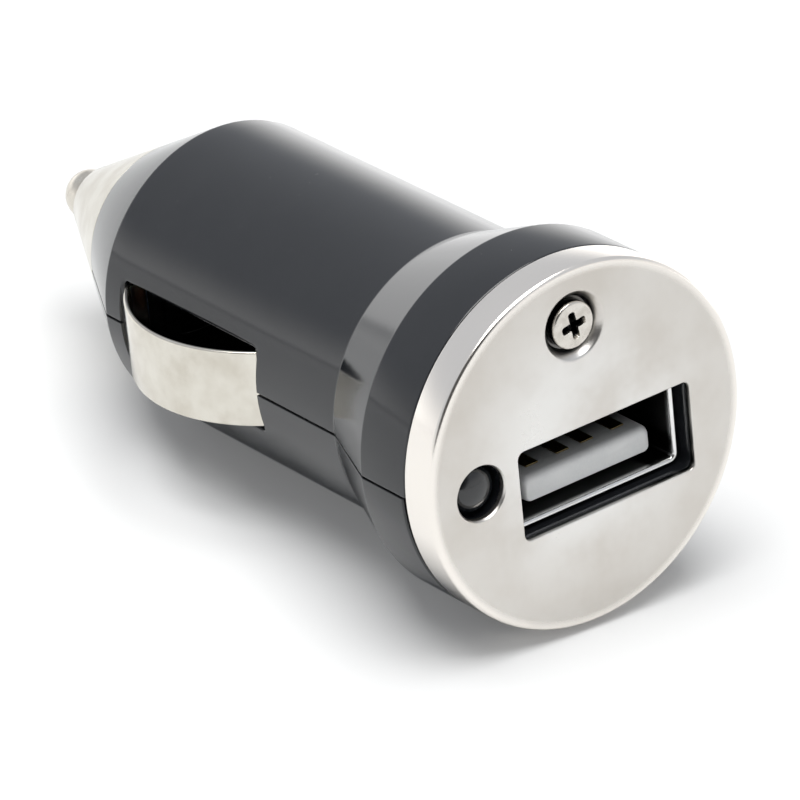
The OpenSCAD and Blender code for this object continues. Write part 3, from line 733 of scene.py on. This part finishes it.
# %% The upper half
boss = rod("boss", 2.2, 1, BOSS_END, SCREW)
rib = block("rib", (SCREW[0] - 0.5, 1, SCREW[1]), (SCREW[0] + 0.5, BOSS_END, 12))
upper_works = inner_works([boss, rib, lamp_ring()], pad_z=(2.34, 9), fin_z=(-0.5, 3))
upper = half_shell("moulded_upper_half", 0.02, upper_works, block("upper space", (-14, -1, 0), (14, 60, 14)))
hand_over(upper, "black_plastic", "housing", "upper_shell")

# %% The lower half
PAD_TOP = 1.1


def below_seam():
    """Space of the lower half; the board's pads reach a little above the seam in it."""
    space = block("lower space", (-14, -1, -14), (14, 60, 0))
    pads = [block("pad space", (x - 1, start - 0.1, -1), (x + 1, start + 1.3, PAD_TOP)) for x, start in PADS]
    return worked(space, *[("UNION", pad) for pad in pads])


ribs = [block("rib", (WINDOW[0] - 4, start, -13), (WINDOW[0] + 4, start + 1, -4.62)) for start in (5, 11.3)]
lower_works = inner_works([lamp_ring(), *ribs], pad_z=(-10, PAD_TOP), fin_z=(-3, 0.5))
lower = half_shell("moulded_lower_half", 0.35, lower_works, below_seam())
hand_over(lower, "black_plastic", "housing", "lower_shell")

# %% [markdown]
# ## The face cap
# The metal face is one drawn cup: a flat plate, a rolled front edge and a short rim that grips the
# shells. The window and the lamp hole are punched from the front, which draws their edges in a
# little, and the dimple for the screw is pressed, so its lip is soft.

# %% Face cap
cap = turned("drawn_face_cap", rounded([
    (0, 0, 0), (HEAD_R, 0, 0.3), (HEAD_R, CAP_END, 0.08), (12, CAP_END, 0.05), (12, CAP_SHEET, 0),
    (0, CAP_SHEET, 0)], 8), SHELL_STEPS)
dimple_back = turned("dimple back", [(0, 0.3), (2.65, 0.3), (2.3, 1.4), (0, 1.4)], 96, SCREW)
dimple = turned("dimple tool", rounded([
    (0, -1, 0), (3.2, -1, 0), (3.2, 0, 0), (2.35, 0, 0.3), (1.85, 0.62, 0.15), (1.8, 0.9, 0.05),
    (0, 0.9, 0)], 8), 96, SCREW)
screw_hole = rod("screw hole", 1.05, 0, CAP_END, SCREW, 48)
lamp_hole = turned("lamp punch", rounded([
    (0, -1, 0), (2.3, -1, 0), (2.3, 0, 0), (1.95, 0, 0.04), (1.84, 0.16, 0.08), (1.84, 1.5, 0),
    (0, 1.5, 0)], 6), 96, LAMP)
DRAWN_IN = 0.1
punch = duct("punch", grown_by(WINDOW_SIZE, [(-1, DRAWN_IN), *lip(0, DRAWN_IN, 5), (CAP_END, 0)]))
worked(cap, ("UNION", dimple_back), ("DIFFERENCE", dimple), ("DIFFERENCE", screw_hole),
       ("DIFFERENCE", lamp_hole), ("DIFFERENCE", punch))
hand_over(cap, "satin_cap", "housing", "face_cap")

# %% [markdown]
# ## The screw in the face
# A small screw whose flat head stands nearly level with the plate, with a cross recess. The recess
# is a pair of crossed wedges: narrower at the floor than at the top, as the tool's tip is.

# %% Face screw
head_r, shank_r, head_top, head_end = 1.6, 0.9, 0.05, 0.88
screw = turned("cross_head_screw", rounded([
    (0, head_top, 0), (head_r, head_top, 0.2), (head_r, head_end - 0.1, 0), (head_r - 0.1, head_end, 0),
    (shank_r, head_end, 0), (shank_r, head_end + 5.7, 0), (0.1, head_end + 6.5, 0),
    (0, head_end + 6.5, 0)]), 96, SCREW)
CROSS_WEDGE = [(-0.2, 2.15, 0.62), (0.75, 1.3, 0.36)]
for turn in (-10, 80):
    cos, sin = math.cos(math.radians(turn)), math.sin(math.radians(turn))
    loops = [[(SCREW[0] + x * cos + z * sin, depth, SCREW[1] - x * sin + z * cos)
              for x, z in round_loop(length, width, width / 3, 3)] for depth, length, width in CROSS_WEDGE]
    worked(screw, ("DIFFERENCE", lofted("wedge", loops)))
hand_over(screw, "screw_steel", "housing", "face_screw")

# %% [markdown]
# ## The nose cap and the contact pin
# Both are turned. The nose cap continues the shells' taper, and its mouth is rounded over where the
# pin comes through. The pin's tip is a half ball, and its collar stays inside.

# %% Nose cap
nose_start, thread_end, room_end, room_r = NOSE_SEAM + 0.02, 48.6, 51.6, 2.86
nose = turned("turned_nose_cap", rounded([
    (NECK_R + SLACK, nose_start, 0), (nose_r(nose_start), nose_start, 0.08), (MOUTH_R, NOSE_END, 0.45),
    (PIN_R + SLACK, NOSE_END, 0.12), (PIN_R + SLACK, room_end, 0), (room_r, room_end, 0),
    (room_r, thread_end, 0), (NECK_R + SLACK, thread_end, 0)], 8))
hand_over(nose, "nickel", "housing", "nose_cap")

# %% Contact pin
collar_r, collar_end, tip_end = 2.8, COLLAR_START + 1.2, 57
tip = [(PIN_R * math.cos(a), tip_end - PIN_R + PIN_R * math.sin(a))
       for a in [math.pi / 40 * i for i in range(20)]]
pin = turned("tip_pin", rounded([
    (0, COLLAR_START - 1, 0), (2.0, COLLAR_START - 1, 0.15), (2.0, COLLAR_START, 0),
    (collar_r, COLLAR_START, 0.1), (collar_r, collar_end, 0.1), (PIN_R, collar_end, 0)])
    + tip + [(0, tip_end)], 128)
hand_over(pin, "pin_metal", "pin", "contact_pin")

# %% [markdown]
# ## Spring clips and springs with Geometry Nodes
# A clip is one strip of sheet that follows a bowed line, and a coil spring is a wire that follows a
# helix. Both are a section that runs along a path, which is what Curve to Mesh does. One tree sweeps
# a strip along the line it is given, the other makes a helix and sweeps a round wire.

# %% Start and end of a tree
def new_tree(name, *inputs):
    """Tree with (name, kind, value) inputs; gives its graph and the inputs as sockets."""
    tree = bpy.data.node_groups.new(name, "GeometryNodeTree")
    tree.is_modifier = True
    for label, kind, value in inputs:
        socket = tree.interface.new_socket(label, in_out="INPUT", socket_type="NodeSocket" + kind)
        if value is not None:
            socket.default_value = value
    tree.interface.new_socket("Piece", in_out="OUTPUT", socket_type="NodeSocketGeometry")
    graph, given = Graph(tree), tree.nodes.new("NodeGroupInput")
    return graph, {label: Socket(graph, given.outputs[label]) for label, kind, value in inputs}


def end_tree(graph, path, section, finish):
    """Sweeps the section along the path and ends in a plain body with its finish."""
    path = graph.node("GeometryNodeSetCurveNormal", {"mode": "Z_UP"}, {"Curve": path})
    body = graph.node("GeometryNodeCurveToMesh", inputs={
        "Curve": path, "Profile Curve": section, "Fill Caps": True})
    body = graph.node("GeometryNodeRealizeInstances", inputs={0: body})
    body = graph.node("GeometryNodeSetMaterial", inputs={"Geometry": body, "Material": finish})
    out = graph.tree.nodes.new("NodeGroupOutput")
    graph.set(out.inputs[0], body)
    print(graph.tree.name, "takes", len(graph.tree.interface.items_tree) - 1, "inputs")


# %% A tree that sweeps a strip
strip, given = new_tree("strip along a line", ("Line", "Geometry", None), ("Width", "Float", 5.4),
                        ("Thickness", "Float", 0.35), ("Edge", "Float", 0.1), ("Finish", "Material", None))
line = strip.node("GeometryNodeMeshToCurve", inputs={0: given["Line"]})
section = strip.node("GeometryNodeCurvePrimitiveQuadrilateral", inputs={
    "Width": given["Thickness"], "Height": given["Width"]})
section = strip.node("GeometryNodeFilletCurve", {"mode": "POLY"}, {
    "Curve": section, "Count": 4, "Radius": given["Edge"]})
end_tree(strip, line, section, given["Finish"])

# %% A tree that winds a wire
coil, given = new_tree("wire round a helix", ("Turns", "Float", 5.5), ("Radius", "Float", 2.4),
                       ("Length", "Float", 5.0), ("Wire", "Float", 0.45), ("Steps", "Int", 48),
                       ("Finish", "Material", None))
helix = coil.node("GeometryNodeCurveSpiral", inputs={
    "Resolution": given["Steps"], "Rotations": given["Turns"], "Start Radius": given["Radius"],
    "End Radius": given["Radius"], "Height": given["Length"]})
round_wire = coil.node("GeometryNodeCurvePrimitiveCircle", inputs={
    "Resolution": 14, "Radius": given["Wire"] * 0.5})
end_tree(coil, helix, round_wire, given["Finish"])


# %% From a tree to a plain mesh
def grown(name, graph, mesh=None, **inputs):
    """Piece that the tree makes, as a plain mesh; the inputs go by their names."""
    thing = bpy.data.objects.new(name, mesh or bpy.data.meshes.new(name))
    bpy.context.scene.collection.objects.link(thing)
    maker = thing.modifiers.new("maker", "NODES")
    maker.node_group = graph.tree
    for item in graph.tree.interface.items_tree:
        if item.in_out == "INPUT" and item.name in inputs:
            maker[item.identifier] = inputs[item.name]
    seen = thing.evaluated_get(bpy.context.evaluated_depsgraph_get())
    made = bpy.data.meshes.new_from_object(seen)
    thing.modifiers.clear()
    thing.data = made
    faced_out(made, merge=1e-5)
    return thing


# %% The two side clips
CLIP_SHEET = 0.35


def clip_line(side):
    """Middle of the strip: a tail under the wall, a step, the bow, a step and the other tail."""
    tail_x, tail_start, tail_end = 8.2455, 19.45, 38.55
    crest, bow_half, bow_end = 12.75, 6.8, 7.27
    rise = crest - (BARREL_R + 0.05)
    bow_r = (bow_half ** 2 + rise ** 2) / (2 * rise) - CLIP_SHEET / 2
    middle_x = crest - CLIP_SHEET / 2 - bow_r
    reach = math.asin(bow_end / bow_r)
    bow = [(CLIP_MIDDLE - bow_r * math.sin(a), middle_x + bow_r * math.cos(a), 0)
           for a in [reach - 2 * reach * i / 48 for i in range(49)]]
    near = [(tail_start, tail_x, 0), (bow[0][0], tail_x, 0.25), (*bow[0][:2], 0.12)]
    far = [(*bow[-1][:2], 0.12), (bow[-1][0], tail_x, 0.25), (tail_end, tail_x, 0)]
    points = [(side * x, depth, 0) for depth, x in rounded(near + bow[1:-1] + far)]
    mesh = bpy.data.meshes.new("clip line")
    mesh.from_pydata(points, [(i, i + 1) for i in range(len(points) - 1)], [])
    return mesh


for side, name, body, node in ((-1, "left_bowed_clip", "clip_left", "left_clip"),
                               (1, "right_bowed_clip", "clip_right", "right_clip")):
    clip = grown(name, strip, clip_line(side), Width=5.4, Thickness=CLIP_SHEET, Edge=0.12,
                 Finish=FINISHES["nickel"])
    hand_over(clip, "nickel", body, node)

# %% The spring behind the pin
TURN_TO_DEPTH = Matrix.Rotation(math.radians(-90), 4, "X")
TURNS, WIRE, PIN_TRAVEL = 5.5, 0.45, 2
spring_start = COLLAR_START - PIN_TRAVEL - TURNS * WIRE - 1
spring = grown("pin_coil_spring", coil, Turns=TURNS, Radius=2.425, Wire=WIRE, Steps=48,
               Length=COLLAR_START - spring_start - WIRE - 0.04, Finish=FINISHES["spring_steel"])
spring.data.transform(Matrix.Translation((0, spring_start + WIRE / 2 + 0.02, 0)) @ TURN_TO_DEPTH)
hand_over(spring, "spring_steel", "housing", "contact_spring")
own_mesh(spring)

# %% [markdown]
# ## The charging socket
# Behind the window stands a folded sheet-metal shell with four leaf springs, and in it a pale tongue
# that carries the contacts. The mouth of the shell and the tip of the tongue are rounded, because
# that is where the light catches them.

# %% Socket shell
CAN_SIZE, CAN_INSIDE, CAN_START = (13.1, 5.7, 0.6), (12.5, 5.1, 0.3), 1.3
LEAVES = (WINDOW[0] - 3.3, WINDOW[0] + 3.3)
socket = duct("socket_can", grown_by(CAN_SIZE, [*lip(CAN_START, -0.04, 4), (14.3, 0)]))
hole = duct("hole", [(13.0, 5.6, 0.55, 0), *grown_by(CAN_INSIDE, [*lip(CAN_START, 0.25, 4), (15, 0)])])
leaf_windows = [block("leaf window", (x - 1.2, 3.8, -6), (x + 1.2, 8.8, 3)) for x in LEAVES]
worked(socket, ("DIFFERENCE", hole), *[("DIFFERENCE", window) for window in leaf_windows])
for x in LEAVES:
    for side in (-1, 1):
        leaf = block("leaf", (-0.9, -5, -0.12), (0.9, 0, 0.12))
        leaf.data.transform(Matrix.Translation((x, 8.9, WINDOW[1] + side * 2.7))
                            @ Matrix.Rotation(math.radians(3 * side), 4, "X"))
        worked(socket, ("UNION", leaf))
hand_over(socket, "socket_steel", "housing", "socket_shell")

# %% Tongue
TONGUE_W, TONGUE_H, TONGUE_CORNER = 10.2, 1.84, 0.5
tongue_z = WINDOW[1] - CAN_SIZE[1] / 2 + 0.3 + 0.63 + TONGUE_H / 2
loops = []
for depth, less in [(2.2 + 0.45 * way, aside) for way, aside in quarter(4)] + [(12.9, 0)]:
    loop = round_loop(TONGUE_W - 0.4 * less, TONGUE_H - 0.67 * less, TONGUE_CORNER - 0.2 * less)
    loops.append([(WINDOW[0] + x, depth, tongue_z - 0.215 * less + z) for x, z in loop])
tongue = lofted("socket_insulator", loops)
back = duct("back", grown_by((12.46, 5.06, 0.3), [(11.9, 0), (14.1, 0)]))
tongue_top = tongue_z + TONGUE_H / 2
grooves = [block("groove", (WINDOW[0] + x - 0.52, 3.38, tongue_top - 0.2),
                 (WINDOW[0] + x + 0.52, 14.3, tongue_top + 0.09)) for x in (-3.5, -1, 1, 3.5)]
worked(tongue, ("UNION", back), *[("DIFFERENCE", groove) for groove in grooves])
hand_over(tongue, "white_plastic", "housing", "socket_tongue")

# %% [markdown]
# ## The indicator lamp
# A small domed lamp stands behind the round hole. It is dark while nothing is plugged in.

# %% Lamp
DOME_R, DOME_BASE, DOME_HEIGHT = 1.76, 1.5, 1.2
dome = [(DOME_R * math.cos(a), DOME_BASE + DOME_HEIGHT * math.sin(a))
        for a in [-math.pi / 2 + math.pi / 24 * i for i in range(1, 13)]]
lamp = turned("lamp_body", [
    (0, DOME_BASE - DOME_HEIGHT), *dome, (DOME_R, 1.9), (1.5, 1.98), (1.5, 6.2), (1.9, 6.2), (1.9, 7.2),
    (0, 7.2)], 96, LAMP)
hand_over(lamp, "smoky_lens", "housing", "indicator_lamp")

# %% [markdown]
# ## Solids that stay as they are
# The parts of the circuit inside the shells are simple and hidden. Their solids are good as they
# are, so they only get their finishes, each by the slot that the record names for it.

# %% Finishes for the carried solids
slots = {part["node"]: part["material_slot"] for part in frame["record"]["subparts"]}
for name, node in frame["nodes"].items():
    node.data.materials.clear()
    node.data.materials.append(FINISHES[slots[name]])
print("solids with a finish:", len(slots))

# %% [markdown]
# ## The camera
# The photograph is taken from the left, in front and above, with a long lens: the plug's lines hardly
# run together. The camera's place and turn were worked out from the outlines of the head, the barrel
# and the nose.

# %% Camera
CAMERA_PLACE = (-0.23304, -0.33223, 0.20239)
right = Vector((0.7939, -0.6011, -0.0918)).normalized()
back = Vector((-0.5062, -0.7370, 0.4479)).normalized()
up = back.cross(right).normalized()
right = up.cross(back)
lens = bpy.data.cameras.new("camera")
lens.sensor_width = 36
lens.lens = 315
lens.clip_start = 0.01
camera = bpy.data.objects.new("camera", lens)
turn = Matrix((right, up, back)).transposed()
camera.matrix_world = Matrix.Translation(CAMERA_PLACE) @ turn.to_4x4()
bpy.context.scene.collection.objects.link(camera)
bpy.context.scene.camera = camera
print("camera is", round(camera.matrix_world.translation.length, 3), "m from the origin")

# %% [markdown]
# ## The table and the light
# The plug rests on the edge of its head and on the end of its barrel, so the floor is tilted a little
# against the plug's axis. The floor is pale and keeps the soft shadow, and further off it turns to
# plain white for the camera. One wide lamp above gives the shadow its direction, and a weak world
# fills the rest. Gloss needs something to mirror, so rays that metal or glass sends on meet a room of
# their own: white near the horizon and greyer above, with a bright backdrop and a bright far floor
# that the black shells show along their upper edge, and a dark patch where the photographer stands.

# %% Rays, shaders and lights for the surroundings
WHITE = (1, 1, 1, 1)


def background_rays(graph):
    """1 for rays of the camera, and 1 for rays that metal or glass sends on."""
    rays = graph.node("ShaderNodeLightPath")
    camera_ray, glossy_ray, glass_ray = [rays.beside(f"Is {kind} Ray")
                                         for kind in ("Camera", "Glossy", "Transmission")]
    return camera_ray, 1 - (1 - glossy_ray) * (1 - glass_ray)


def either(graph, share, first, second):
    """Shader between two shaders."""
    return graph.node("ShaderNodeMixShader", inputs={0: share, 1: first, 2: second})


def glow(graph, kind, strength, colour=WHITE):
    """Light that a floor (Emission) or the world (Background) sends out."""
    return graph.node("ShaderNode" + kind, inputs={"Color": colour, "Strength": strength})


print("surroundings can be made")

# %% Floor
PLUG_UP = Vector((0.068, 0, 0.998)).normalized()
GAP, FLOOR_HALF = 0.05, 4000
front_touch = Vector((0, FLANGE_END - ORIGIN_DEPTH, 0)) - PLUG_UP * HEAD_R
back_touch = Vector((0, BARREL_END - ORIGIN_DEPTH, 0)) - PLUG_UP * BARREL_R
run = (back_touch - front_touch).normalized()
floor_x = run.cross(PLUG_UP).normalized()
normal = floor_x.cross(run).normalized()
middle = (front_touch + back_touch) / 2 - normal * GAP
corners = [middle + (floor_x * x + run * y) * FLOOR_HALF for x, y in ((-1, -1), (1, -1), (1, 1), (-1, 1))]
floor = blank("floor", [corner * MM for corner in corners], [(0, 1, 2, 3)])
print("floor normal:", [round(v, 3) for v in normal])

# %% What the floor shows
material, graph, shader = new_finish("table", Roughness=0.9, Specular_IOR_Level=0.0,
                                     Base_Color=(0.88, 0.89, 0.9, 1))
camera_ray, sent_on = background_rays(graph)
place = graph.node("ShaderNodeTexCoord", output="Object")
x, y, z = parts_of(graph, place)
away = graph.node("ShaderNodeVectorMath", {"operation": "LENGTH"}, {0: place}, output=1)
behind = between(graph, x + y, 0.08, 0.16) * between(graph, x - y * 0.4, -0.012, 0.02)
around = between(graph, away, 0.08, 0.35) * 0.4
mirrored = sent_on * (behind + (1 - behind) * around)
shown = camera_ray * (0.12 + between(graph, away, 0.12, 0.5) * 0.88)
sheet = either(graph, mirrored, Socket(graph, shader.outputs[0]), glow(graph, "Emission", 1.6))
sheet = either(graph, shown, sheet, glow(graph, "Emission", 1.0))
graph.set(material.node_tree.nodes["Material Output"].inputs["Surface"], sheet)
floor.data.materials.append(material)
print("the floor has", len(material.node_tree.nodes), "nodes")

# %% World
world = bpy.data.worlds.new("room")
bpy.context.scene.world = world
world.use_nodes = True
graph = Graph(world.node_tree)
camera_ray, sent_on = background_rays(graph)
x, y, z = parts_of(graph, graph.node("ShaderNodeTexCoord", output="Generated"))
above = between(graph, z, 0.05, 0.42)
backdrop = between(graph, y - z * 0.9, 0.42, 0.85)
photographer = between(graph, x * -0.5 + y * -0.72 + z * 0.45, 0.72, 0.9)
room = mixed(graph, above, (1.0, 1.0, 1.0), (0.62, 0.64, 0.68))
room = mixed(graph, backdrop, room, (1.7, 1.7, 1.7))
room = mixed(graph, photographer, room, (0.07, 0.07, 0.07))
fill = glow(graph, "Background", 0.3, (0.95, 0.97, 1.0, 1))
sky = either(graph, sent_on, fill, glow(graph, "Background", 1.0, room))
sky = either(graph, camera_ray, sky, glow(graph, "Background", 1.0))
graph.set(world.node_tree.nodes["World Output"].inputs["Surface"], sky)
print("the world has", len(world.node_tree.nodes), "nodes")

# %% Lamp over the table
KEY_PLACE = Vector((-0.025, -0.065, 0.6))
light = bpy.data.lights.new("key", "AREA")
light.size = 0.52
light.energy = 4.5
light.color = (1.0, 0.99, 0.97)
key = bpy.data.objects.new("key", light)
key.matrix_world = Matrix.Translation(KEY_PLACE) @ (-KEY_PLACE).to_track_quat("-Z", "Y").to_matrix().to_4x4()
bpy.context.scene.collection.objects.link(key)
bpy.context.scene.view_settings.view_transform = "Standard"
print("lamp at", [round(v, 3) for v in KEY_PLACE], "m,", light.energy, "W")
